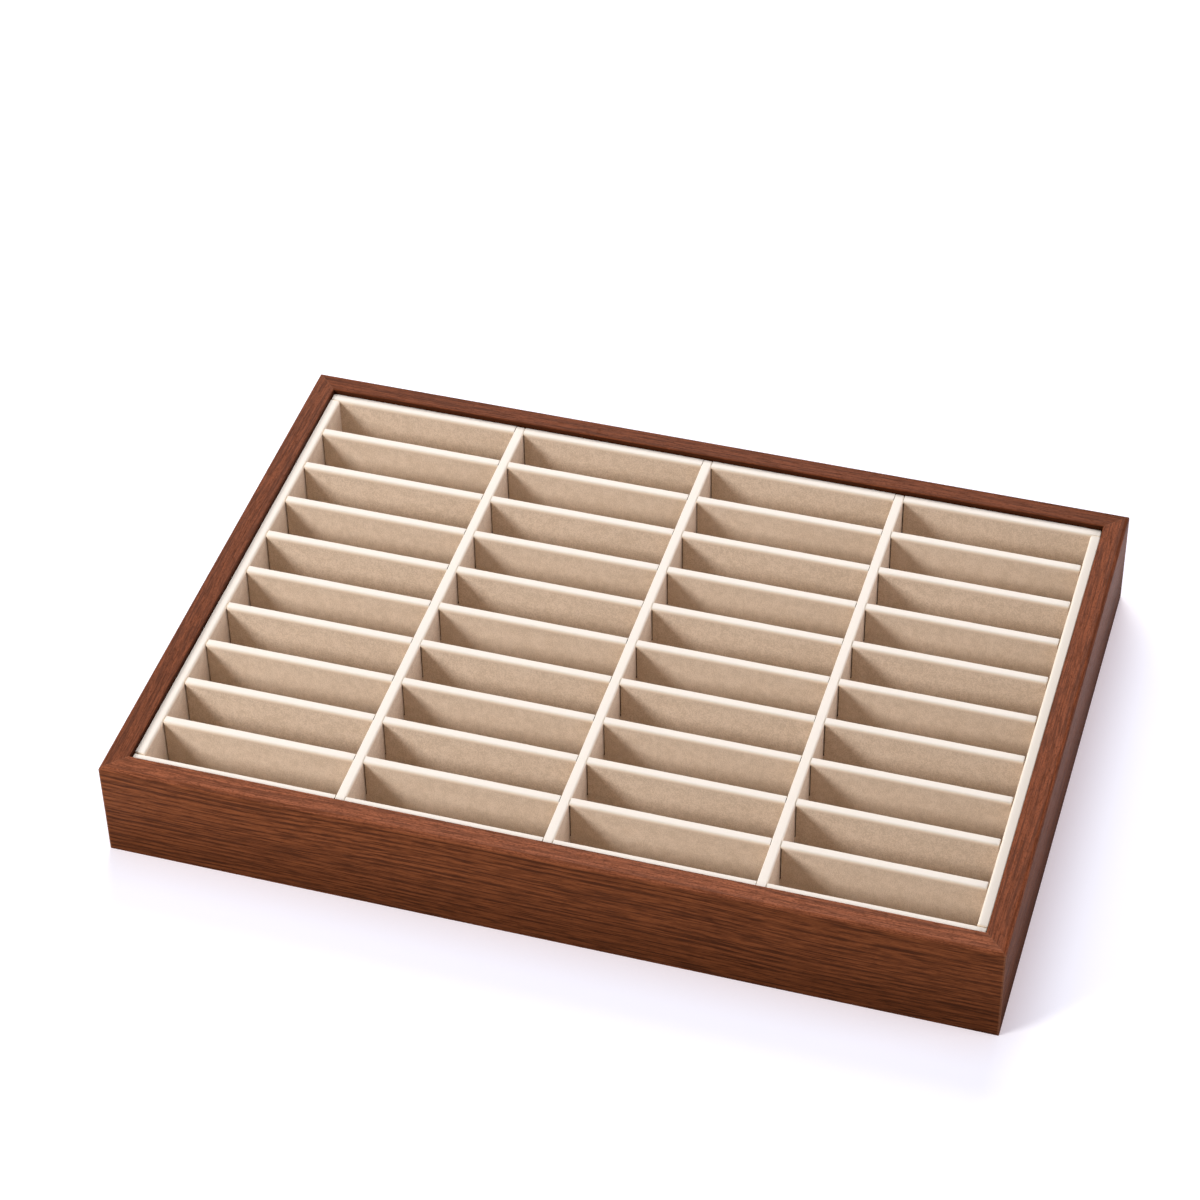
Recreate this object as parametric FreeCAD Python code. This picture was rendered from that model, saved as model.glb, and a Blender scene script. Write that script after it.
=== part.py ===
import FreeCAD, Part
import math
import os

# Jewelry tray, in millimetres. X runs along the long side, the front is at -Y and Z is up.
# The origin is under the middle of the tray, on the surface that it stands on.

Vector = FreeCAD.Vector

# Frame of four mitred rails
TRAY_LENGTH = 350.0
TRAY_DEPTH = 248.0
TRAY_HEIGHT = 44.0
RAIL_THICKNESS = 9.2
RIM_OUTER_ROUND = 1.6
RIM_INNER_ROUND = 0.5
CORNER_ROUND = 0.6

# Loose tongues inside the mitres
KEY_THICKNESS = 2.0
KEY_WIDTH = 7.0
KEY_HEIGHT = 24.0
KEY_BOTTOM = 11.0
KEY_CLEARANCE = 0.1
KEY_PLACE_SHARE = 0.6

# Base panel and felt, pushed up into a rebate under the rails
REBATE_WIDTH = 4.5
PANEL_THICKNESS = 3.0
FELT_THICKNESS = 1.0
FELT_RECESS = 0.2
PANEL_CLEARANCE = 0.25

# Wire staples that hold the panel up in the rebate
STAPLE_CROWN = 10.0
STAPLE_LEG = 12.0
STAPLE_WIRE = 1.0
STAPLE_CLEARANCE = 0.05
LONG_RAIL_STAPLE_COUNT = 4
SHORT_RAIL_STAPLE_COUNT = 3

# Insert of wrapped boards that drops into the frame
COLUMNS = 4
ROWS = 10
INSERT_CLEARANCE = 0.3
INSERT_RECESS = 2.0
FLOOR_THICKNESS = 2.0
FABRIC_THICKNESS = 0.5
BOARD_THICKNESS = 3.0
BOARD_ARRIS = 0.7
SLOT_CLEARANCE = 0.15
LAP_CLEARANCE = 0.3
LAP_HEIGHT_SHARE = 0.5
WALL_BUTT_GAP = 0.3
DIVIDER_END_GAP = 0.4

# How far a cutting shape runs past what it cuts
OVERRUN = 2.0

# Places that follow from the sizes above
OPENING_LENGTH = TRAY_LENGTH - 2 * RAIL_THICKNESS
OPENING_DEPTH = TRAY_DEPTH - 2 * RAIL_THICKNESS
PANEL_LENGTH = OPENING_LENGTH + 2 * REBATE_WIDTH - 2 * PANEL_CLEARANCE
PANEL_DEPTH = OPENING_DEPTH + 2 * REBATE_WIDTH - 2 * PANEL_CLEARANCE
PANEL_BOTTOM = FELT_RECESS + FELT_THICKNESS
PANEL_TOP = PANEL_BOTTOM + PANEL_THICKNESS
INSERT_LENGTH = OPENING_LENGTH - 2 * INSERT_CLEARANCE
INSERT_DEPTH = OPENING_DEPTH - 2 * INSERT_CLEARANCE
LINING_BOTTOM = PANEL_TOP + FLOOR_THICKNESS
WRAPPED_BOTTOM = LINING_BOTTOM + FABRIC_THICKNESS
WRAPPED_HEIGHT = TRAY_HEIGHT - INSERT_RECESS - WRAPPED_BOTTOM
WRAPPED_THICKNESS = BOARD_THICKNESS + 2 * FABRIC_THICKNESS
COLUMN_PITCH = (INSERT_LENGTH - WRAPPED_THICKNESS) / COLUMNS
ROW_PITCH = (INSERT_DEPTH - WRAPPED_THICKNESS) / ROWS
LAP_HEIGHT = LAP_HEIGHT_SHARE * WRAPPED_HEIGHT

# Each side of the frame: degrees round from the front, length, distance from the middle, and staples
SIDES = {
    "front": (0, TRAY_LENGTH, TRAY_DEPTH / 2, LONG_RAIL_STAPLE_COUNT),
    "right": (90, TRAY_DEPTH, TRAY_LENGTH / 2, SHORT_RAIL_STAPLE_COUNT),
    "back": (180, TRAY_LENGTH, TRAY_DEPTH / 2, LONG_RAIL_STAPLE_COUNT),
    "left": (270, TRAY_DEPTH, TRAY_LENGTH / 2, SHORT_RAIL_STAPLE_COUNT),
}


def turned(shape, degrees):
    """A copy of the shape turned about the upright axis through the origin."""
    copy = shape.copy()
    copy.rotate(Vector(0, 0, 0), Vector(0, 0, 1), degrees)
    return copy


def moved(shape, x=0, y=0, z=0):
    """A copy of the shape shifted along the axes."""
    copy = shape.copy()
    copy.translate(Vector(x, y, z))
    return copy


def upright_block(length, depth, bottom, top):
    """A block centred on the origin in plan."""
    return Part.makeBox(length, depth, top - bottom, Vector(-length / 2, -depth / 2, bottom))


def prism(points, height):
    """An upright prism over a plan outline."""
    outline = Part.makePolygon([Vector(x, y, 0) for x, y in points + points[:1]])
    return Part.Face(outline).extrude(Vector(0, 0, height))


# Frame


def rail_section():
    """The rail's section in the YZ plane, with its outer face at Y = 0 and the tray's inside at +Y."""
    quarter_share = math.sqrt(0.5)
    top = TRAY_HEIGHT
    inner = RAIL_THICKNESS
    rebate = RAIL_THICKNESS - REBATE_WIDTH

    def at(y, z):
        return Vector(0, y, z)

    outer_arc = Part.Arc(
        at(0, top - RIM_OUTER_ROUND),
        at(RIM_OUTER_ROUND * (1 - quarter_share), top - RIM_OUTER_ROUND * (1 - quarter_share)),
        at(RIM_OUTER_ROUND, top),
    )
    inner_arc = Part.Arc(
        at(inner - RIM_INNER_ROUND, top),
        at(inner - RIM_INNER_ROUND * (1 - quarter_share), top - RIM_INNER_ROUND * (1 - quarter_share)),
        at(inner, top - RIM_INNER_ROUND),
    )
    edges = [
        Part.LineSegment(at(0, 0), at(0, top - RIM_OUTER_ROUND)).toShape(),
        outer_arc.toShape(),
        Part.LineSegment(at(RIM_OUTER_ROUND, top), at(inner - RIM_INNER_ROUND, top)).toShape(),
        inner_arc.toShape(),
        Part.LineSegment(at(inner, top - RIM_INNER_ROUND), at(inner, PANEL_TOP)).toShape(),
        Part.LineSegment(at(inner, PANEL_TOP), at(rebate, PANEL_TOP)).toShape(),
        Part.LineSegment(at(rebate, PANEL_TOP), at(rebate, 0)).toShape(),
        Part.LineSegment(at(rebate, 0), at(0, 0)).toShape(),
    ]
    return Part.Face(Part.Wire(edges))


def corner_posts():
    """The tray's outer block with its upright corners eased, which trims the ends of the rails."""
    block = upright_block(TRAY_LENGTH, TRAY_DEPTH, 0, TRAY_HEIGHT)
    upright = [edge for edge in block.Edges if edge.BoundBox.ZLength > CORNER_ROUND]
    return block.makeFillet(CORNER_ROUND, upright)


def corner_keys(clearance):
    """Four tongues, each across a mitre; with a clearance they are the grooves that hold them."""
    inset = KEY_PLACE_SHARE * RAIL_THICKNESS
    keys = []
    for x_side, y_side in ((1, 1), (-1, 1), (-1, -1), (1, -1)):
        key = upright_block(
            KEY_THICKNESS + 2 * clearance,
            KEY_WIDTH + 2 * clearance,
            KEY_BOTTOM - clearance,
            KEY_BOTTOM + KEY_HEIGHT + clearance,
        )
        key = turned(key, 45 * x_side * y_side)
        keys.append(moved(key, x_side * (TRAY_LENGTH / 2 - inset), y_side * (TRAY_DEPTH / 2 - inset)))
    return Part.makeCompound(keys)


def staple(clearance):
    """One staple along X, its crown flush with the panel's underside; with a clearance it is its slot."""
    crown = STAPLE_CROWN + 2 * clearance
    wire = STAPLE_WIRE + 2 * clearance
    wire_top = PANEL_BOTTOM + STAPLE_WIRE + clearance
    tip = PANEL_BOTTOM + STAPLE_LEG + clearance
    outside = upright_block(crown, wire, PANEL_BOTTOM, tip)
    between_legs = upright_block(crown - 2 * wire, wire + 2 * OVERRUN, wire_top, tip + OVERRUN)
    return outside.cut(between_legs)


def base_staples(clearance):
    """Staples in the middle of the rebate, spaced evenly along each rail."""
    staples = []
    for degrees, run, reach, count in SIDES.values():
        opening = run - 2 * RAIL_THICKNESS
        line = reach - RAIL_THICKNESS + REBATE_WIDTH / 2
        for step in range(count):
            along = opening * ((step + 0.5) / count - 0.5)
            staples.append(turned(moved(staple(clearance), along, -line), degrees))
    return Part.makeCompound(staples)


def rail(name):
    """One rail, mitred at both ends, grooved for the tongues and slotted for the staples."""
    degrees, run, reach, _ = SIDES[name]
    bar = moved(rail_section().extrude(Vector(run, 0, 0)), -run / 2, -reach)
    out = OVERRUN
    into = RAIL_THICKNESS + OVERRUN
    mitres = prism(
        [
            (-run / 2 - out, -reach - out),
            (run / 2 + out, -reach - out),
            (run / 2 - into, -reach + into),
            (-run / 2 + into, -reach + into),
        ],
        TRAY_HEIGHT,
    )
    shape = turned(bar.common(mitres), degrees)
    shape = shape.common(corner_posts())
    return shape.cut(corner_keys(KEY_CLEARANCE)).cut(base_staples(STAPLE_CLEARANCE))


def base_panel():
    """The panel that closes the bottom, slotted for the staples."""
    panel = upright_block(PANEL_LENGTH, PANEL_DEPTH, PANEL_BOTTOM, PANEL_TOP)
    return panel.cut(base_staples(STAPLE_CLEARANCE))


def base_felt():
    """The felt under the panel, a little above the foot of the rails."""
    return upright_block(PANEL_LENGTH, PANEL_DEPTH, FELT_RECESS, PANEL_BOTTOM)


# Insert


def top_edges(block):
    """The two long edges along the top of a board that stands on edge along X."""
    long_edges = [edge for edge in block.Edges if edge.BoundBox.XLength > edge.BoundBox.DiagonalLength / 2]
    return [edge for edge in long_edges if edge.BoundBox.ZMin > block.BoundBox.Center.z]


def wrapped_board(length, slots, slot_bottom, slot_top):
    """A board on edge along X and the fabric round it, both notched where other boards cross."""
    board_height = WRAPPED_HEIGHT - FABRIC_THICKNESS
    board = upright_block(length - 2 * FABRIC_THICKNESS, BOARD_THICKNESS, 0, board_height)
    board = board.makeChamfer(BOARD_ARRIS, top_edges(board))
    outside = upright_block(length, WRAPPED_THICKNESS, 0, WRAPPED_HEIGHT)
    outside = outside.makeFillet(BOARD_ARRIS + FABRIC_THICKNESS, top_edges(outside))
    cover = outside.cut(board)
    slot_width = WRAPPED_THICKNESS + 2 * SLOT_CLEARANCE
    for place in slots:
        notch = upright_block(slot_width, WRAPPED_THICKNESS + 2 * OVERRUN, slot_bottom, slot_top)
        notch = moved(notch, place)
        board = board.cut(notch)
        cover = cover.cut(notch)
    return moved(board, z=WRAPPED_BOTTOM), moved(cover, z=WRAPPED_BOTTOM)


COLUMN_LINES = [COLUMN_PITCH * (step - COLUMNS / 2) for step in range(COLUMNS + 1)]
ROW_LINES = [ROW_PITCH * (step - ROWS / 2) for step in range(ROWS + 1)]


def insert_boards():
    """Every wall and divider by name, as a pair of board and cover."""
    boards = {}
    slot_floor = LAP_HEIGHT - LAP_CLEARANCE / 2
    slot_ceiling = LAP_HEIGHT + LAP_CLEARANCE / 2
    above = WRAPPED_HEIGHT + OVERRUN

    # Boards along X are notched from above, where the long dividers come down into them
    end_wall = wrapped_board(INSERT_LENGTH, COLUMN_LINES[1:-1], slot_floor, above)
    cross_length = INSERT_LENGTH - 2 * WRAPPED_THICKNESS - 2 * DIVIDER_END_GAP
    cross = wrapped_board(cross_length, COLUMN_LINES[1:-1], slot_floor, above)
    boards["front_wall"] = [moved(shape, y=ROW_LINES[0]) for shape in end_wall]
    boards["back_wall"] = [moved(shape, y=ROW_LINES[-1]) for shape in end_wall]
    for number, line in enumerate(ROW_LINES[1:-1], 1):
        boards[f"cross_divider_{number}"] = [moved(shape, y=line) for shape in cross]

    # Long dividers are notched from below, also at their ends, where they hook over the walls
    long = wrapped_board(INSERT_DEPTH, ROW_LINES, -OVERRUN, slot_ceiling)
    for number, line in enumerate(COLUMN_LINES[1:-1], 1):
        boards[f"long_divider_{number}"] = [moved(turned(shape, 90), x=line) for shape in long]

    # Side walls stand plain between the front and back walls
    side_length = INSERT_DEPTH - 2 * WRAPPED_THICKNESS - 2 * WALL_BUTT_GAP
    side = wrapped_board(side_length, [], 0, 0)
    boards["left_wall"] = [moved(turned(shape, 90), x=COLUMN_LINES[0]) for shape in side]
    boards["right_wall"] = [moved(turned(shape, 90), x=COLUMN_LINES[-1]) for shape in side]
    return boards


def all_nodes():
    """Every piece of the tray by the name of its node."""
    nodes = {f"{name}_rail": rail(name) for name in SIDES}
    nodes["corner_keys"] = corner_keys(0)
    nodes["base_panel"] = base_panel()
    nodes["base_staples"] = base_staples(0)
    nodes["base_felt"] = base_felt()
    nodes["insert_floor_board"] = upright_block(INSERT_LENGTH, INSERT_DEPTH, PANEL_TOP, LINING_BOTTOM)
    nodes["insert_floor_lining"] = upright_block(INSERT_LENGTH, INSERT_DEPTH, LINING_BOTTOM, WRAPPED_BOTTOM)
    for name, (board, cover) in insert_boards().items():
        nodes[f"{name}_board"] = board
        nodes[f"{name}_cover"] = cover
    return nodes


os.makedirs("parts", exist_ok=True)
for node, shape in all_nodes().items():
    solids = shape.Solids
    assert shape.isValid() and solids, node
    print(node, len(solids), "solids", round(shape.Volume, 1), "mm3")
    shape.exportStep(f"parts/{node}.step")
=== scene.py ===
import math

import bmesh
import bpy
from mathutils import Matrix, Vector


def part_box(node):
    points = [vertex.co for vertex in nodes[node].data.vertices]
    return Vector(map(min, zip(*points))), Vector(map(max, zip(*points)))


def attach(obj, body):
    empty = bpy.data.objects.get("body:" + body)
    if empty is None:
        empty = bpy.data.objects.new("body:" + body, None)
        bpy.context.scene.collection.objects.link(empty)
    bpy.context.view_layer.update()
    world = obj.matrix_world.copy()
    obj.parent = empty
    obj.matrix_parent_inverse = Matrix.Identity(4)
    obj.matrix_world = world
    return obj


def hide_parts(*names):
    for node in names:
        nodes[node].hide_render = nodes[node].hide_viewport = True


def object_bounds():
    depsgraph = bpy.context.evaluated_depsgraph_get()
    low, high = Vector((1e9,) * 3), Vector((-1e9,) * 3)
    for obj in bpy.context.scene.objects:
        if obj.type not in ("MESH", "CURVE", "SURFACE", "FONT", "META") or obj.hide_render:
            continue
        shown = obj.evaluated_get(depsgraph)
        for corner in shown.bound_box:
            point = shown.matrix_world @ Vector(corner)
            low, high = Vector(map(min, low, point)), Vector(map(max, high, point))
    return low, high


# Jewelry tray, in metres. X runs along the long side, the front is at -Y and Z is up.

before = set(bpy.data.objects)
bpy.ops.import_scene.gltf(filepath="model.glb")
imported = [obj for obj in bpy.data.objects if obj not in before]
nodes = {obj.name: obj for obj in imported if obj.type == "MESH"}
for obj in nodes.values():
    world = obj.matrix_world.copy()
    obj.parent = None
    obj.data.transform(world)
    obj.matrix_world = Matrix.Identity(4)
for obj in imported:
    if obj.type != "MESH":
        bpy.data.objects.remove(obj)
cad_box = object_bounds()
MM = 0.001

# Sizes of the frame, read from its own nodes
tray_low, tray_high = cad_box
TRAY_LENGTH = tray_high.x - tray_low.x
TRAY_DEPTH = tray_high.y - tray_low.y
TRAY_HEIGHT = tray_high.z
RAIL_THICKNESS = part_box("front_rail")[1].y - tray_low.y
PANEL_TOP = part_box("base_panel")[1].z
RIM_OUTER_ROUND = 1.6 * MM
RIM_INNER_ROUND = 0.5 * MM
CORNER_ROUND = 0.6 * MM
REBATE_WIDTH = 4.5 * MM
MITRE_EASE = 0.07 * MM
FOOT_EASE = 0.3 * MM
CORNER_FACET_TURNS = (11.25, 33.75)
RAIL_SMOOTHING = 30

# Sizes of the wrapped boards
INSERT_LOW, INSERT_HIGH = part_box("insert_floor_lining")
WRAPPED_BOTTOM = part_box("front_wall_cover")[0].z
WRAPPED_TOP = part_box("front_wall_cover")[1].z
WRAPPED_HEIGHT = WRAPPED_TOP - WRAPPED_BOTTOM
WRAPPED_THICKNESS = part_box("front_wall_cover")[1].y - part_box("front_wall_cover")[0].y
COLUMNS = 4
ROWS = 10
COLUMN_PITCH = (INSERT_HIGH.x - INSERT_LOW.x - WRAPPED_THICKNESS) / COLUMNS
ROW_PITCH = (INSERT_HIGH.y - INSERT_LOW.y - WRAPPED_THICKNESS) / ROWS
COLUMN_LINES = [COLUMN_PITCH * (step - COLUMNS / 2) for step in range(COLUMNS + 1)]
ROW_LINES = [ROW_PITCH * (step - ROWS / 2) for step in range(ROWS + 1)]
HALF_WRAP = WRAPPED_THICKNESS / 2
FIRM_ROUND = 0.5 * MM
FOLD_ROUND = 0.9 * MM
SOFT_ROUND = 1.15 * MM
END_ROUND = 0.5 * MM
WALL_SWELL = 0.15 * MM
TIGHT_DEPTH = 1.3 * MM
# Depth below the top over which the cloth is painted paler as painted light
PAINTED_TOP_DEPTH = 2.2 * MM
RING_SPACING = 2.5 * MM
CLOTH_THICKNESS = 0.35 * MM
CLOTH_UNEVEN = 0.12 * MM
CLOTH_STATION = 6 * MM
CLOTH_WAVE = 14 * MM
CUT_EDGE_EASE = 0.1 * MM
CUT_EDGE_ANGLE = 65
WRAP_SMOOTHING = 60
CLOTH_SMOOTHING = 50
TIGHT_GAP = 0.03 * MM
SLIT_GAP = 0.13 * MM
WIDE_GAP = 0.4 * MM
LAP_CLEARANCE = 0.3 * MM
LAP_HEIGHT = WRAPPED_BOTTOM + WRAPPED_HEIGHT / 2

# Flat sheets
SHEET_CUTS = (24, 16)
SHEET_SMOOTHING = 40


# Hand tools for shaping a mesh


def clear_selection():
    """Nothing selected, as before each new piece."""
    bpy.ops.object.select_all(action="DESELECT")


def start_block(name, low, high):
    """A block between two corners, in edit mode, with its place in its mesh."""
    clear_selection()
    middle = (Vector(low) + Vector(high)) / 2
    bpy.ops.mesh.primitive_cube_add(size=1, location=middle)
    block = bpy.context.object
    block.name = name
    block.data.name = name
    block.scale = Vector(high) - Vector(low)
    bpy.ops.object.transform_apply(location=True, rotation=True, scale=True)
    bpy.ops.object.mode_set(mode="EDIT")
    return block


def pick_faces(piece, wanted):
    """Selects the faces for which wanted(normal, middle) holds."""
    bpy.ops.mesh.select_mode(type="FACE")
    bpy.ops.mesh.select_all(action="DESELECT")
    mesh = bmesh.from_edit_mesh(piece.data)
    for face in mesh.faces:
        face.select_set(wanted(face.normal, face.calc_center_median()))
    bmesh.update_edit_mesh(piece.data)


def pick_edges(piece, wanted):
    """Selects the edges for which wanted(edge) holds."""
    bpy.ops.mesh.select_mode(type="EDGE")
    bpy.ops.mesh.select_all(action="DESELECT")
    mesh = bmesh.from_edit_mesh(piece.data)
    mesh.normal_update()
    for edge in mesh.edges:
        edge.select_set(wanted(edge))
    bmesh.update_edit_mesh(piece.data)


def cut_across(place, normal, drop_outside=False):
    """A cut through the whole mesh; what lies on the normal's side may be dropped and the cut closed."""
    bpy.ops.mesh.select_all(action="SELECT")
    bpy.ops.mesh.bisect(
        plane_co=place,
        plane_no=normal,
        use_fill=drop_outside,
        clear_outer=drop_outside,
    )


def push_out(offset):
    """Extrudes the selected faces along the offset."""
    bpy.ops.mesh.extrude_region_move(TRANSFORM_OT_translate={"value": offset})


def near(value, target, room=0.02 * MM):
    return abs(value - target) < room


def lies_at(edge, axis, target):
    """Both ends of the edge at the target along one axis."""
    return all(near(vertex.co[axis], target) for vertex in edge.verts)


def finish_modifier(piece, kind, **settings):
    """Adds a modifier with its settings and applies it."""
    modifier = piece.modifiers.new(kind.title(), kind)
    for key, value in settings.items():
        setattr(modifier, key, value)
    clear_selection()
    piece.select_set(True)
    bpy.context.view_layer.objects.active = piece
    bpy.ops.object.modifier_apply(modifier=modifier.name)


def leave_edit(piece, smooth_degrees):
    """Back to object mode, with faces turned outwards and soft edges smooth."""
    bpy.ops.mesh.select_all(action="SELECT")
    bpy.ops.mesh.normals_make_consistent(inside=False)
    bpy.ops.object.mode_set(mode="OBJECT")
    smooth(piece, smooth_degrees)


def smooth(piece, degrees):
    clear_selection()
    piece.select_set(True)
    bpy.context.view_layer.objects.active = piece
    bpy.ops.object.shade_smooth_by_angle(angle=math.radians(degrees))


def set_place(piece, degrees=0, offset=(0, 0, 0)):
    """Turns a piece about the upright axis and shifts it, with the place kept in its mesh."""
    clear_selection()
    piece.select_set(True)
    bpy.context.view_layer.objects.active = piece
    piece.rotation_euler.z = math.radians(degrees)
    piece.location = offset
    bpy.ops.object.transform_apply(location=True, rotation=True, scale=True)


def copied(piece, name):
    """A copy with its own mesh."""
    twin = piece.copy()
    twin.data = piece.data.copy()
    twin.name = name
    twin.data.name = name
    bpy.context.scene.collection.objects.link(twin)
    return twin


# Rails


def shape_rail(name, degrees, run, reach):
    """One rail, shaped along the front and then turned to its side of the tray."""
    outer = -reach
    inner = outer + RAIL_THICKNESS
    foot = inner - REBATE_WIDTH
    top = TRAY_HEIGHT
    rail = start_block(name, (-run / 2, outer, 0), (run / 2, foot, PANEL_TOP))

    # Stands the rail up on its foot, then fills it out to its full thickness over the rebate
    pick_faces(rail, lambda normal, middle: normal.z > 0.9)
    push_out((0, 0, top - PANEL_TOP))
    pick_faces(rail, lambda normal, middle: normal.y > 0.9 and middle.z > PANEL_TOP)
    push_out((0, REBATE_WIDTH, 0))

    # Rounds the rim and eases the foot
    pick_edges(rail, lambda edge: lies_at(edge, 1, outer) and lies_at(edge, 2, top))
    bpy.ops.mesh.bevel(offset=RIM_OUTER_ROUND, segments=6, profile=0.5, affect="EDGES")
    pick_edges(rail, lambda edge: lies_at(edge, 1, inner) and lies_at(edge, 2, top))
    bpy.ops.mesh.bevel(offset=RIM_INNER_ROUND, segments=3, profile=0.5, affect="EDGES")
    pick_edges(rail, lambda edge: lies_at(edge, 1, outer) and lies_at(edge, 2, 0))
    bpy.ops.mesh.bevel(offset=FOOT_EASE, segments=2, profile=0.5, affect="EDGES")

    # Mitres both ends, with the upright corner rounded in facets
    for side in (-1, 1):
        corner = Vector((side * run / 2, outer, 0))
        cut_across(corner, (side, 1, 0), drop_outside=True)
        centre = corner + Vector((-side * CORNER_ROUND, CORNER_ROUND, 0))
        for turn in CORNER_FACET_TURNS:
            tilt = math.radians(turn)
            outwards = Vector((side * math.sin(tilt), -math.cos(tilt), 0))
            cut_across(centre + CORNER_ROUND * outwards, outwards, drop_outside=True)

    def on_mitre(edge):
        sloped = [abs(abs(face.normal.x) - abs(face.normal.y)) < 0.02 for face in edge.link_faces]
        return sum(sloped) == 1

    pick_edges(rail, on_mitre)
    bpy.ops.mesh.bevel(offset=MITRE_EASE, segments=1, profile=0.5, affect="EDGES")
    leave_edit(rail, RAIL_SMOOTHING)
    set_place(rail, degrees)
    return rail


rails = {
    "front_rail": shape_rail("front_rail_veneered", 0, TRAY_LENGTH, TRAY_DEPTH / 2),
    "right_rail": shape_rail("right_rail_veneered", 90, TRAY_DEPTH, TRAY_LENGTH / 2),
    "back_rail": shape_rail("back_rail_veneered", 180, TRAY_LENGTH, TRAY_DEPTH / 2),
    "left_rail": shape_rail("left_rail_veneered", 270, TRAY_DEPTH, TRAY_LENGTH / 2),
}
for node, rail in rails.items():
    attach(rail, "tray")
    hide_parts(node)


# Wrapped boards


def shape_cover(name, ends, faces, rounds, slits):
    """The cloth round a board that stands on edge along X: open below, folded over the top and the ends."""
    start, end = ends
    cover = start_block(name, (start, faces[0], WRAPPED_BOTTOM), (end, faces[1], WRAPPED_TOP))
    pick_faces(cover, lambda normal, middle: normal.z < -0.9)
    bpy.ops.mesh.delete(type="FACE")
    for face, size in zip(faces, rounds):
        pick_edges(cover, lambda edge: lies_at(edge, 2, WRAPPED_TOP) and lies_at(edge, 1, face))
        bpy.ops.mesh.bevel(offset=size, segments=5, profile=0.5, affect="EDGES")

    def at_an_end(edge):
        if lies_at(edge, 2, WRAPPED_BOTTOM):
            return False
        return lies_at(edge, 0, start) or lies_at(edge, 0, end)

    pick_edges(cover, at_an_end)
    bpy.ops.mesh.bevel(offset=END_ROUND, segments=3, profile=0.5, affect="EDGES")

    # Slits for the boards that cross, and cuts between them for the slight unevenness of the cloth
    for left, right, low, high in slits:
        for place in (left, right):
            cut_across((place, 0, 0), (1, 0, 0))
        for place in (low, high):
            cut_across((0, 0, place), (0, 0, 1))
    stations = int((end - start) / CLOTH_STATION)
    for step in range(1, stations):
        place = start + (end - start) * step / stations
        if all(not slit[0] - MM < place < slit[1] + MM for slit in slits):
            cut_across((place, 0, 0), (1, 0, 0))
    levels = int(WRAPPED_HEIGHT / CLOTH_STATION)
    for step in range(1, levels):
        place = WRAPPED_BOTTOM + WRAPPED_HEIGHT * step / levels
        cut_across((0, 0, place), (0, 0, 1))

    def in_slit(normal, middle):
        for left, right, low, high in slits:
            if left < middle.x < right and low < middle.z < high:
                return True
        return False

    pick_faces(cover, in_slit)
    bpy.ops.mesh.delete(type="FACE")
    leave_edit(cover, WRAP_SMOOTHING)
    return cover


wavy = bpy.data.textures.new("cloth_unevenness", "CLOUDS")
wavy.noise_scale = CLOTH_WAVE
wavy.noise_depth = 1


def dress(cover):
    """Gives the cloth its slight unevenness, its thickness and soft cut edges."""
    finish_modifier(
        cover,
        "DISPLACE",
        texture=wavy,
        texture_coords="LOCAL",
        direction="NORMAL",
        mid_level=1,
        strength=CLOTH_UNEVEN,
    )
    finish_modifier(
        cover,
        "SOLIDIFY",
        thickness=CLOTH_THICKNESS,
        offset=-1,
        use_even_offset=True,
    )
    finish_modifier(
        cover,
        "BEVEL",
        width=CUT_EDGE_EASE,
        segments=2,
        limit_method="ANGLE",
        angle_limit=math.radians(CUT_EDGE_ANGLE),
    )
    smooth(cover, CLOTH_SMOOTHING)


def put_on(cover, board, length):
    """Hangs a finished cover on its board."""
    dress(cover)
    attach(cover, "insert")
    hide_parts(f"{board}_cover")
    length + WRAPPED_THICKNESS
    covers.append(cover)


covers = []
lap_low = LAP_HEIGHT - LAP_CLEARANCE / 2
lap_high = LAP_HEIGHT + LAP_CLEARANCE / 2
fold_low = WRAPPED_TOP - TIGHT_DEPTH
above = WRAPPED_TOP + MM
below = WRAPPED_BOTTOM - MM
column_slits = []
for x in COLUMN_LINES[1:-1]:
    left = x - HALF_WRAP - SLIT_GAP
    right = x + HALF_WRAP
    column_slits.append((left, right + TIGHT_GAP, fold_low, above))
    column_slits.append((left, right + WIDE_GAP, lap_low, fold_low))
row_slits = [(y - HALF_WRAP - SLIT_GAP, y + HALF_WRAP + SLIT_GAP, below, lap_high) for y in ROW_LINES]
plain_faces = (-HALF_WRAP, HALF_WRAP)
wall_faces = (-HALF_WRAP - WALL_SWELL, HALF_WRAP)


def span(node, axis):
    low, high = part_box(node)
    return high[axis] - low[axis]


# Walls at the front and back, and the dividers along X, are slit from above
wall_length = span("front_wall_cover", 0)
wall_ends = (-wall_length / 2, wall_length / 2)
turned_slits = [(-right, -left, low, high) for left, right, low, high in column_slits]
for board, line, turn, rounds, slits in (
    ("front_wall", ROW_LINES[0], 0, (FIRM_ROUND, SOFT_ROUND), column_slits),
    ("back_wall", ROW_LINES[-1], 180, (FIRM_ROUND, FOLD_ROUND), turned_slits),
):
    cover = shape_cover(f"{board}_wrap", wall_ends, wall_faces, rounds, slits)
    set_place(cover, turn, (0, line, 0))
    put_on(cover, board, wall_length)

inner_face = COLUMN_LINES[-1] - HALF_WRAP
cross_ends = (-inner_face + TIGHT_GAP, inner_face - SLIT_GAP)
cross_slits = column_slits + [(-inner_face - MM, -inner_face + WIDE_GAP, below, fold_low)]
cross = shape_cover("cross_cloth", cross_ends, plain_faces, (FOLD_ROUND, SOFT_ROUND), cross_slits)
for number in range(1, ROWS):
    cover = copied(cross, f"cross_divider_{number}_wrap")
    set_place(cover, 0, (0, ROW_LINES[number], 0))
    put_on(cover, f"cross_divider_{number}", 2 * inner_face)
bpy.data.objects.remove(cross)

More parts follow.
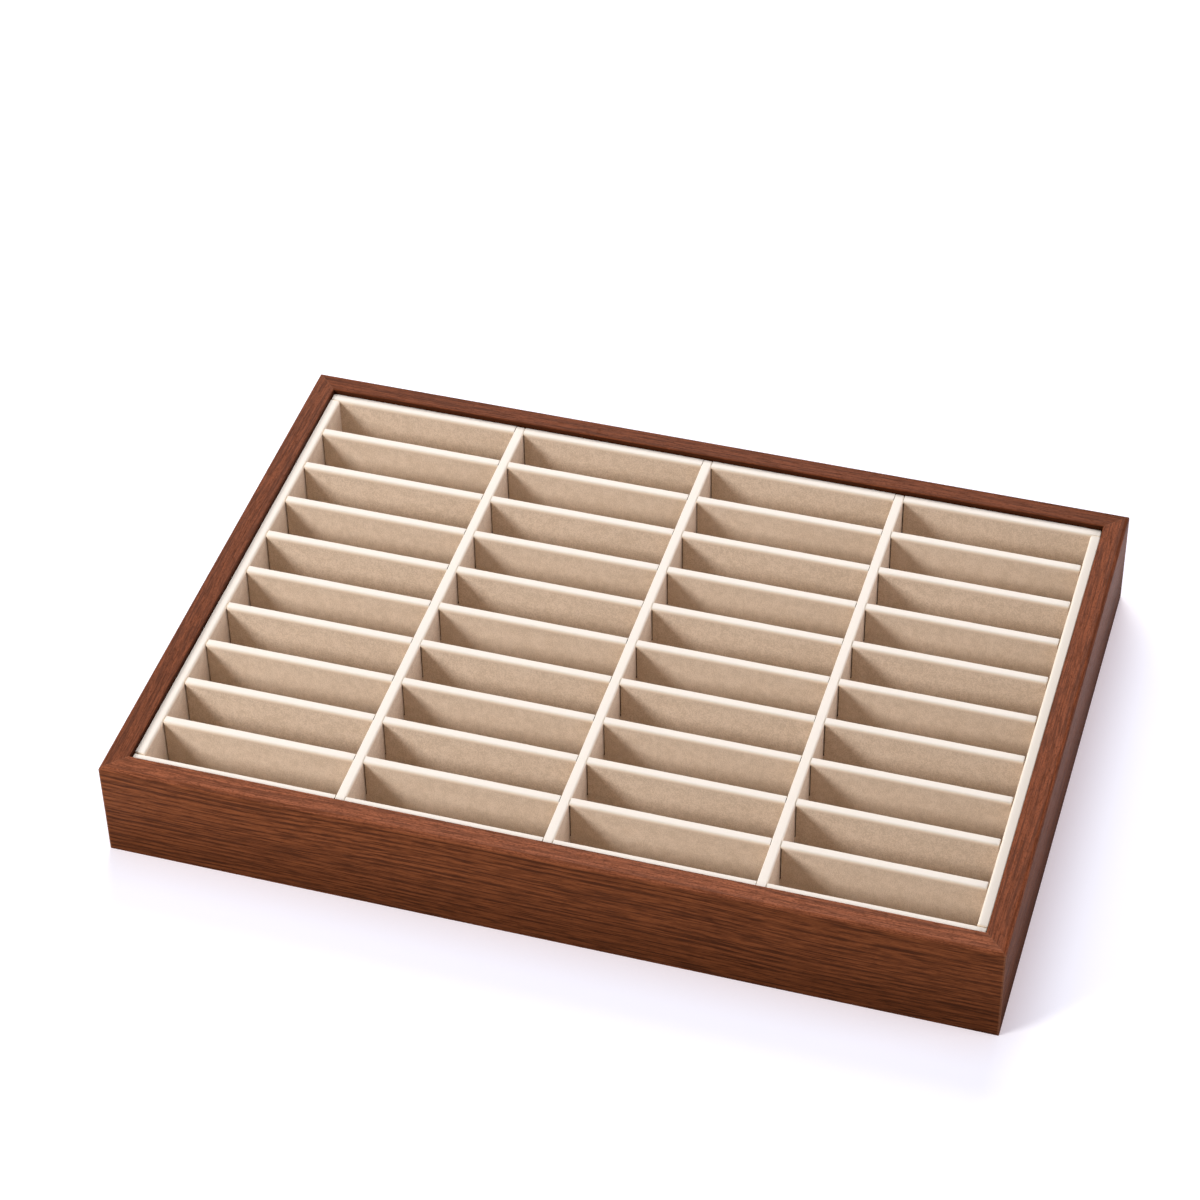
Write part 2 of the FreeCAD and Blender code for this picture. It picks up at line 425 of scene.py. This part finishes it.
# The long dividers are slit from below and stay whole along the top
long_length = span("long_divider_1_cover", 1)
long_ends = (-long_length / 2, long_length / 2)
long_cloth = shape_cover("long_cloth", long_ends, plain_faces, (FOLD_ROUND, FIRM_ROUND), row_slits)
for number in range(1, COLUMNS):
    cover = copied(long_cloth, f"long_divider_{number}_wrap")
    set_place(cover, 90, (COLUMN_LINES[number], 0, 0))
    put_on(cover, f"long_divider_{number}", long_length)
bpy.data.objects.remove(long_cloth)

# The side walls are plain and stand tight against the back wall
side_length = span("left_wall_cover", 1)
side_back = ROW_LINES[-1] - HALF_WRAP - TIGHT_GAP
for board, line, turn, ends in (
    ("left_wall", COLUMN_LINES[0], 270, (-side_back, side_length / 2)),
    ("right_wall", COLUMN_LINES[-1], 90, (-side_length / 2, side_back)),
):
    cover = shape_cover(f"{board}_wrap", ends, wall_faces, (FIRM_ROUND, SOFT_ROUND), [])
    set_place(cover, turn, (line, 0, 0))
    put_on(cover, board, side_length)


# Flat cloth: the lining on the floor of the insert and the felt under the tray


def lay_cloth(name, node, body, inset, ease):
    """A flat sheet where the node is, with soft edges."""
    low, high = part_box(node)
    shrink = Vector((inset, inset, 0))
    sheet = start_block(name, low + shrink, high - shrink)
    pick_edges(sheet, lambda edge: True)
    bpy.ops.mesh.bevel(offset=ease, segments=2, profile=0.5, affect="EDGES")
    for axis, count in enumerate(SHEET_CUTS):
        normal = Vector((0, 0, 0))
        normal[axis] = 1
        for step in range(1, count):
            place = low.lerp(high, step / count)
            cut_across(place, normal)
    leave_edit(sheet, SHEET_SMOOTHING)
    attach(sheet, body)
    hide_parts(node)
    return sheet


lining = lay_cloth(
    "floor_lining_cloth",
    "insert_floor_lining",
    "insert",
    inset=0.1 * MM,
    ease=0.12 * MM,
)
felt = lay_cloth(
    "base_felt_cloth",
    "base_felt",
    "tray",
    inset=0.2 * MM,
    ease=0.3 * MM,
)


# Materials

# Pale worn veneer for the mitre lines, also used as a painted highlight down the upright corners
WEAR_AND_HIGHLIGHT = (0.27, 0.115, 0.062, 1)


class Wire:
    """A socket of a material, so that its maths reads as an expression."""

    def __init__(self, tree, socket=None):
        self.tree = tree
        self.socket = socket

    def node(self, kind, settings=None, sockets=None, output=0):
        """Any node: its settings first, then the values or links of its sockets."""
        made = self.tree.nodes.new(kind)
        for key, value in (settings or {}).items():
            if key == "stops":
                ramp = made.color_ramp
                while len(ramp.elements) < len(value):
                    ramp.elements.new(1)
                for stop, (place, colour) in zip(ramp.elements, value):
                    stop.position = place
                    stop.color = (*colour, 1)
            else:
                setattr(made, key, value)
        for key, value in (sockets or {}).items():
            self.feed(made.inputs[key], value)
        return Wire(self.tree, made.outputs[output])

    def feed(self, socket, value):
        if isinstance(value, Wire):
            self.tree.links.new(value.socket, socket)
        else:
            socket.default_value = value

    def math(self, operation, first, second):
        return self.node("ShaderNodeMath", {"operation": operation}, {0: first, 1: second})

    def __add__(self, other):
        return self.math("ADD", self, other)

    def __radd__(self, other):
        return self.math("ADD", other, self)

    def __sub__(self, other):
        return self.math("SUBTRACT", self, other)

    def __rsub__(self, other):
        return self.math("SUBTRACT", other, self)

    def __mul__(self, other):
        return self.math("MULTIPLY", self, other)

    def __rmul__(self, other):
        return self.math("MULTIPLY", other, self)

    def __truediv__(self, other):
        return self.math("DIVIDE", self, other)

    def __abs__(self):
        return self.node("ShaderNodeMath", {"operation": "ABSOLUTE"}, {0: self})


def new_material(name):
    """A material with its shader and its wires."""
    material = bpy.data.materials.new(name)
    material.use_nodes = True
    shader = material.node_tree.nodes["Principled BSDF"]
    return material, shader, Wire(material.node_tree)


def object_place(wires):
    return wires.node("ShaderNodeTexCoord", {}, {}, "Object")


def scaled(wires, place, scale):
    return wires.node("ShaderNodeMapping", {}, {"Vector": place, "Scale": scale})


def noise(wires, place, scale, detail=2, roughness=0.5, distortion=0):
    return wires.node(
        "ShaderNodeTexNoise",
        {"noise_dimensions": "3D"},
        {
            "Vector": place,
            "Scale": scale,
            "Detail": detail,
            "Roughness": roughness,
            "Distortion": distortion,
        },
    )


def step_up(wires, value, start, end):
    """0 below the start, 1 above the end, with a smooth rise between."""
    return wires.node(
        "ShaderNodeMapRange",
        {"interpolation_type": "SMOOTHSTEP", "clamp": True},
        {"Value": value, "From Min": start, "From Max": end},
    )


def blend(wires, share, first, second, how="MIX"):
    """Two colours mixed by the share of the second."""
    return wires.node(
        "ShaderNodeMix",
        {"data_type": "RGBA", "blend_type": how, "clamp_factor": True},
        {"Factor": share, 6: first, 7: second},
        2,
    )


def part_of(wires, place, axis):
    """One part of a vector."""
    return wires.node("ShaderNodeSeparateXYZ", {}, {0: place}, axis)


def along_grain(grain_axis, along, across):
    """A vector with one value along the grain and another across it."""
    values = [across, across, across]
    values[grain_axis] = along
    return values


def bumped(wires, height, strength, distance):
    return wires.node(
        "ShaderNodeBump",
        {},
        {"Height": height, "Strength": strength, "Distance": distance},
    )


def walnut(name, grain_axis, side_painted_shade, rim_light_and_shade, foot_shade_share, stretch):
    """Satin walnut veneer: long fine streaks along the rail, short pores, and a rim painted paler as
    painted light and sheen on the top.
    """
    material, shader, wires = new_material(name)
    place = object_place(wires)

    # Each rail has its own stretch of veneer, and the streaks wander a little across it
    cut = wires.node(
        "ShaderNodeVectorMath",
        {"operation": "ADD"},
        {0: place, 1: (stretch, stretch, stretch)},
    )
    drift = noise(wires, scaled(wires, cut, along_grain(grain_axis, 5, 16)), 1, 1)
    pushed = wires.node(
        "ShaderNodeVectorMath",
        {"operation": "MULTIPLY_ADD"},
        {
            0: wires.node("ShaderNodeCombineXYZ", {}, {0: drift, 1: drift, 2: drift}),
            1: along_grain(grain_axis, 0, 9 * MM),
            2: cut,
        },
    )

    def grain(along, across, detail):
        return noise(wires, scaled(wires, pushed, along_grain(grain_axis, along, across)), 1, detail, 0.55)

    streaks = grain(4, 330, 3)
    lines = grain(7, 1250, 2)
    fibres = grain(90, 2300, 2)
    pores = step_up(wires, grain(300, 1700, 1), 0.56, 0.66)
    flecks = step_up(wires, grain(850, 2300, 1), 0.50, 0.70)
    veins = step_up(wires, grain(3, 800, 1), 0.66, 0.78)

    # Growth rings cut lengthwise run as long, nearly even lines
    across = part_of(wires, pushed, "Z") + part_of(wires, pushed, "YX"[grain_axis]) * 0.7
    turn = across * (math.tau / RING_SPACING) + grain(4, 70, 2) * 16
    rings = wires.node("ShaderNodeMath", {"operation": "SINE"}, {0: turn})
    shown = step_up(wires, grain(4, 110, 1), 0.25, 0.65)
    figure = streaks * 0.4 + lines * 1.1 + fibres * 1.9 - 1.2

    def veneer(ring_share, dark, middle, pale):
        stops = [(0.22, dark), (0.50, middle), (0.78, pale)]
        return wires.node("ShaderNodeValToRGB", {"stops": stops}, {0: figure + rings * shown * ring_share})

    # Painted light and shade: the rim is painted paler than the sides as light and sheen on the top, each
    # rail gets its own painted light on the rim and painted shade on its sides, and the sides are painted
    # darker towards the foot as shade
    aside = abs(part_of(wires, place, "X"))
    ahead = abs(part_of(wires, place, "Y"))
    height = part_of(wires, place, "Z")
    sides = veneer(
        ring_share=0.25,
        dark=(0.075, 0.0200, 0.0058),
        middle=(0.152, 0.0418, 0.0130),
        pale=(0.236, 0.0685, 0.0228),
    )
    rim = veneer(
        ring_share=0.14,
        dark=(0.115, 0.0315, 0.0127),
        middle=(0.187, 0.0526, 0.0220),
        pale=(0.259, 0.0737, 0.0313),
    )
    # Each rail's rim gets its own painted light and shade factor
    rim = blend(wires, 1, rim, (*rim_light_and_shade, 1), "MULTIPLY")
    # The band over the rim where the paler, painted-light rim colour shows
    painted_lit_rim = step_up(wires, height, TRAY_HEIGHT - RIM_OUTER_ROUND, TRAY_HEIGHT - 0.2 * MM)
    # Painted shade, darker towards the foot
    foot = 1 - step_up(wires, height, -6 * MM, 34 * MM)
    rim = blend(wires, flecks * 0.6, rim, (0.085, 0.0215, 0.0075, 1))
    sides = blend(wires, foot * foot_shade_share, sides, (0.414, 0.383, 0.330, 1), "MULTIPLY")
    # Each rail's sides get their own painted shade
    sides = blend(wires, 1, sides, (side_painted_shade, side_painted_shade, side_painted_shade, 1), "MULTIPLY")
    coloured = blend(wires, painted_lit_rim, sides, rim)

    # The inner faces above the insert are painted dark as shade in the recess, and the mitres show as thin
    # paler lines
    depth = wires.math("MAXIMUM", aside - TRAY_LENGTH / 2, ahead - TRAY_DEPTH / 2) + RAIL_THICKNESS
    inner = 1 - step_up(wires, depth, 0.1 * MM, 0.45 * MM)
    inner = inner * (1 - step_up(wires, height, TRAY_HEIGHT - 0.6 * MM, TRAY_HEIGHT - 0.1 * MM))
    coloured = blend(wires, inner * 0.9, coloured, (0.042, 0.0098, 0.0025, 1))
    offset = abs(aside - ahead - (TRAY_LENGTH - TRAY_DEPTH) / 2)
    mitre = 1 - step_up(wires, offset, 0.15 * MM, 0.7 * MM)
    coloured = blend(wires, mitre * 0.16, coloured, WEAR_AND_HIGHLIGHT)
    # A paler line painted down each upright corner is a painted highlight on its rounding
    corner = step_up(wires, aside, TRAY_LENGTH / 2 - MM, TRAY_LENGTH / 2 - 0.4 * MM)
    corner = corner * step_up(wires, ahead, TRAY_DEPTH / 2 - MM, TRAY_DEPTH / 2 - 0.4 * MM)
    coloured = blend(wires, corner * 0.45, coloured, WEAR_AND_HIGHLIGHT)
    coloured = blend(wires, veins * 0.5, coloured, (0.042, 0.0105, 0.0032, 1))
    coloured = blend(wires, pores * 0.3, coloured, (0.045, 0.0115, 0.0040, 1))

    wires.feed(shader.inputs["Base Color"], coloured)
    wires.feed(shader.inputs["Roughness"], 0.46 + lines * 0.08 + pores * 0.10 + foot * 0.26)
    shader.inputs["Specular IOR Level"].default_value = 0.05
    relief = lines * 0.6 - pores * 0.6 + fibres * 0.4
    wires.feed(shader.inputs["Normal"], bumped(wires, relief, 0.35, 0.06 * MM))
    return material


def microfibre(name):
    """Cream microfibre with a short nap, cloudy in tone, and painted paler over the top of each board as
    painted light.
    """
    material, shader, wires = new_material(name)
    place = object_place(wires)
    cloudy = noise(wires, place, 300, 3, 0.6)
    nap = noise(wires, scaled(wires, place, (1500, 1500, 700)), 1, 2, 0.6)
    fibres = noise(wires, place, 2600, 2, 0.6)
    tone = wires.node(
        "ShaderNodeValToRGB",
        {
            "stops": [
                (0.25, (0.646, 0.507, 0.380)),
                (0.50, (0.726, 0.581, 0.448)),
                (0.75, (0.806, 0.655, 0.516)),
            ]
        },
        {0: cloudy * 1.1 + nap * 0.8 + fibres * 2.6 - 1.75},
    )

    # Painted light: the cloth is painted paler through cream towards the top of a board, where the light
    # falls on it
    height = part_of(wires, place, "Z")
    climb = 1 - (WRAPPED_TOP + 0.15 * MM - height - nap * 0.3 * MM) / PAINTED_TOP_DEPTH
    painted_top_light = wires.node(
        "ShaderNodeValToRGB",
        {
            "stops": [
                (0.00, (0.726, 0.581, 0.448)),
                (0.27, (0.797, 0.645, 0.508)),
                (0.45, (0.868, 0.724, 0.586)),
                (0.60, (0.935, 0.790, 0.643)),
                (0.75, (0.965, 0.860, 0.720)),
                (0.90, (0.965, 0.884, 0.785)),
                (1.00, (0.945, 0.866, 0.796)),
            ]
        },
        {0: climb},
    )
    coloured = blend(wires, step_up(wires, climb, 0, 0.3) * 0.9, tone, painted_top_light)
    wires.feed(shader.inputs["Base Color"], coloured)
    wires.feed(shader.inputs["Roughness"], 0.86 + nap * 0.12)
    shader.inputs["Specular IOR Level"].default_value = 0.15
    shader.inputs["Sheen Weight"].default_value = 0.12
    shader.inputs["Sheen Roughness"].default_value = 0.45
    shader.inputs["Sheen Tint"].default_value = (1.0, 0.94, 0.86, 1)
    relief = nap * 0.6 + fibres * 0.4
    wires.feed(shader.inputs["Normal"], bumped(wires, relief, 0.5, 0.12 * MM))
    return material


def felted(name):
    """Short brown felt with matted fibres."""
    material, shader, wires = new_material(name)
    place = object_place(wires)
    matted = noise(wires, place, 420, 4, 0.7, 0.8)
    fibres = noise(wires, scaled(wires, place, (1, 1, 0.2)), 2600, 3, 0.7, 1.2)
    tone = wires.node(
        "ShaderNodeValToRGB",
        {
            "stops": [
                (0.30, (0.050, 0.030, 0.021)),
                (0.55, (0.105, 0.067, 0.048)),
                (0.75, (0.165, 0.112, 0.083)),
            ]
        },
        {0: matted * 0.5 + fibres * 0.5},
    )
    wires.feed(shader.inputs["Base Color"], tone)
    wires.feed(shader.inputs["Roughness"], 0.90 + matted * 0.10)
    shader.inputs["Specular IOR Level"].default_value = 0.1
    shader.inputs["Sheen Weight"].default_value = 0.2
    wires.feed(shader.inputs["Normal"], bumped(wires, fibres + matted, 0.7, 0.25 * MM))
    return material


def pressed_board(name, dark, pale, speck):
    """Board of pressed fibres: mottled, with darker and paler specks."""
    material, shader, wires = new_material(name)
    place = object_place(wires)
    mottle = noise(wires, place, 240, 4, 0.65)
    chips = noise(wires, scaled(wires, place, (1, 1, 2.5)), 1500, 2, 0.7, 0.6)
    tone = blend(wires, step_up(wires, mottle * 0.6 + chips * 0.4, 0.35, 0.65), dark, pale)
    specks = step_up(wires, chips, 0.64, 0.72)
    wires.feed(shader.inputs["Base Color"], blend(wires, specks * 0.5, tone, speck))
    wires.feed(shader.inputs["Roughness"], 0.72 + mottle * 0.18)
    shader.inputs["Specular IOR Level"].default_value = 0.25
    wires.feed(shader.inputs["Normal"], bumped(wires, mottle + chips * 0.6, 0.4, 0.08 * MM))
    return material


def raw_beech(name):
    """Pale beech with upright grain and short flecks."""
    material, shader, wires = new_material(name)
    place = object_place(wires)
    grain = noise(wires, scaled(wires, place, (900, 900, 25)), 1, 3, 0.6)
    flecks = step_up(wires, noise(wires, scaled(wires, place, (2600, 2600, 420)), 1, 1), 0.62, 0.70)
    tone = blend(wires, grain, (0.50, 0.32, 0.19, 1), (0.72, 0.53, 0.36, 1))
    wires.feed(shader.inputs["Base Color"], blend(wires, flecks * 0.5, tone, (0.34, 0.19, 0.10, 1)))
    wires.feed(shader.inputs["Roughness"], 0.60 + grain * 0.2)
    wires.feed(shader.inputs["Normal"], bumped(wires, grain - flecks * 0.5, 0.3, 0.05 * MM))
    return material


def bright_wire(name):
    """Galvanised wire with fine drawing marks."""
    material, shader, wires = new_material(name)
    place = object_place(wires)
    marks = noise(wires, place, 5200, 2, 0.6)
    bloom = noise(wires, place, 700, 3, 0.6)
    tone = blend(wires, bloom, (0.42, 0.42, 0.43, 1), (0.66, 0.66, 0.67, 1))
    wires.feed(shader.inputs["Base Color"], tone)
    wires.feed(shader.inputs["Roughness"], 0.28 + bloom * 0.22)
    shader.inputs["Metallic"].default_value = 1
    wires.feed(shader.inputs["Normal"], bumped(wires, marks, 0.2, 0.02 * MM))
    return material


def give(piece, material):
    """One material all over a piece."""
    piece.data.materials.clear()
    piece.data.materials.append(material)


# Each rail carries its own painted light on the rim, painted shade on its sides and painted shade towards
# its foot
veneers = {
    "front_rail": walnut(
        "walnut_veneer_front",
        grain_axis=0,
        side_painted_shade=0.97,
        rim_light_and_shade=(1.30, 1.38, 1.41),
        foot_shade_share=0.62,
        stretch=0.37,
    ),
    "right_rail": walnut(
        "walnut_veneer_right",
        grain_axis=1,
        side_painted_shade=0.68,
        rim_light_and_shade=(1.02, 0.97, 0.88),
        foot_shade_share=1.0,
        stretch=0.61,
    ),
    "back_rail": walnut(
        "walnut_veneer_back",
        grain_axis=0,
        side_painted_shade=0.95,
        rim_light_and_shade=(0.81, 0.78, 0.71),
        foot_shade_share=0.65,
        stretch=0.83,
    ),
    "left_rail": walnut(
        "walnut_veneer_left",
        grain_axis=1,
        side_painted_shade=0.95,
        rim_light_and_shade=(0.87, 0.88, 0.85),
        foot_shade_share=0.65,
        stretch=1.12,
    ),
}
cream_cloth = microfibre("cream_microfibre")
brown_felt = felted("brown_felt")
base_board = pressed_board(
    "base_fibreboard",
    dark=(0.20, 0.115, 0.06, 1),
    pale=(0.33, 0.21, 0.12, 1),
    speck=(0.10, 0.055, 0.03, 1),
)
# Painted shade: the divider boards are painted near black so that the gaps between the covers show dark
shaded_divider_board = pressed_board(
    "divider_fibreboard_shaded",
    dark=(0.045, 0.032, 0.025, 1),
    pale=(0.085, 0.062, 0.049, 1),
    speck=(0.14, 0.105, 0.082, 1),
)
grey_card = pressed_board(
    "grey_card",
    dark=(0.37, 0.355, 0.325, 1),
    pale=(0.51, 0.49, 0.455, 1),
    speck=(0.24, 0.23, 0.21, 1),
)
beech = raw_beech("raw_beech")
staple_wire = bright_wire("staple_wire")

for node, rail in rails.items():
    give(rail, veneers[node])
for cover in covers:
    give(cover, cream_cloth)
give(lining, cream_cloth)
give(felt, brown_felt)
give(nodes["base_panel"], base_board)
give(nodes["base_staples"], staple_wire)
give(nodes["corner_keys"], beech)
give(nodes["insert_floor_board"], grey_card)
for node, piece in nodes.items():
    if node.endswith("_board") and node != "insert_floor_board":
        give(piece, shaded_divider_board)


# Floor, light and camera

FLOOR_SIZE = 12
SHADOW_REACH = 20 * MM


def plainly_seen(wires):
    """1 for the rays that see the plain white background: from the camera, off a gloss or through glass."""
    kinds = ("Is Camera Ray", "Is Glossy Ray", "Is Transmission Ray")
    direct, mirrored, through = [wires.node("ShaderNodeLightPath", {}, {}, kind) for kind in kinds]
    return wires.math("MINIMUM", direct + mirrored + through, 1)


def white_table(name):
    """White floor; where it is seen it is lifted to white, with a painted contact shadow near the tray that
    follows ambient occlusion.
    """
    material, shader, wires = new_material(name)
    shader.inputs["Base Color"].default_value = (0.86, 0.86, 0.87, 1)
    shader.inputs["Roughness"].default_value = 0.9
    shader.inputs["Specular IOR Level"].default_value = 0
    plain = Wire(wires.tree, shader.outputs[0])
    openness = wires.node("ShaderNodeAmbientOcclusion", {"samples": 8}, {"Distance": SHADOW_REACH}, "AO")
    # Painted shadow: the darker glow near the tray, mixed in by ambient occlusion
    painted_contact_shadow = wires.node("ShaderNodeEmission", {}, {"Color": (0.341, 0.222, 0.200, 1)})
    clear = wires.node("ShaderNodeEmission", {}, {"Color": (0.555, 0.547, 0.641, 1)})
    lift = wires.node("ShaderNodeMixShader", {}, {0: openness, 1: painted_contact_shadow, 2: clear})
    dim = wires.node("ShaderNodeBsdfDiffuse", {}, {"Color": (0.677, 0.677, 0.677, 1)})
    lifted = wires.node("ShaderNodeAddShader", {}, {0: lift, 1: dim})
    surface = wires.node("ShaderNodeMixShader", {}, {0: plainly_seen(wires), 1: plain, 2: lifted})
    wires.feed(wires.tree.nodes["Material Output"].inputs["Surface"], surface)
    return material


clear_selection()
bpy.ops.mesh.primitive_plane_add(size=FLOOR_SIZE, location=(0, 0, 0))
floor = bpy.context.object
floor.name = "floor"
give(floor, white_table("white_table"))

AMBIENT = 0.005
world = bpy.data.worlds.new("studio")
bpy.context.scene.world = world
world.use_nodes = True
sky = Wire(world.node_tree)
backdrop = sky.tree.nodes["Background"]
backdrop.inputs["Color"].default_value = (1, 1, 1, 1)
sky.feed(backdrop.inputs["Strength"], AMBIENT + plainly_seen(sky) * (1 - AMBIENT))


def soft_lamp(name, place, aim, size, power, colour=(1, 1, 1)):
    """A soft round lamp that points at a place."""
    lamp = bpy.data.lights.new(name, "AREA")
    lamp.shape = "DISK"
    lamp.size = size
    lamp.energy = power
    lamp.color = colour
    stand = bpy.data.objects.new(name, lamp)
    bpy.context.scene.collection.objects.link(stand)
    stand.location = place
    stand.rotation_euler = (Vector(aim) - Vector(place)).to_track_quat("-Z", "Y").to_euler()
    return stand


AIM = (0, 0, 0.03)
soft_lamp("key_lamp", (-1.001, -1.037, 0.901), AIM, size=0.55, power=21.3)
soft_lamp("right_lamp", (1.603, -0.112, 0.553), AIM, size=1.1, power=13.3, colour=(1.0, 0.965, 1.03))
soft_lamp("back_lamp", (-0.251, 1.132, 1.243), AIM, size=1.05, power=24.0)

CAMERA_TURN = math.radians(17.350)
CAMERA_RISE = math.radians(42.398)
CAMERA_ROLL = math.radians(-1.204)
CAMERA_DISTANCE = 1.40382
CAMERA_ASIDE = -0.01328
CAMERA_ABOVE = 0.04716
CAMERA_SENSOR = 36
CAMERA_LENS = 104.917
camera = bpy.data.cameras.new("camera")
camera.sensor_width = CAMERA_SENSOR
camera.lens = CAMERA_LENS
stand = bpy.data.objects.new("camera", camera)
bpy.context.scene.collection.objects.link(stand)
facing = (
    Matrix.Rotation(CAMERA_TURN, 4, "Z")
    @ Matrix.Rotation(math.pi / 2 - CAMERA_RISE, 4, "X")
    @ Matrix.Rotation(CAMERA_ROLL, 4, "Z")
)
stand.matrix_world = facing @ Matrix.Translation((CAMERA_ASIDE, CAMERA_ABOVE, CAMERA_DISTANCE))
bpy.context.scene.camera = stand
bpy.context.scene.view_settings.view_transform = "Standard"
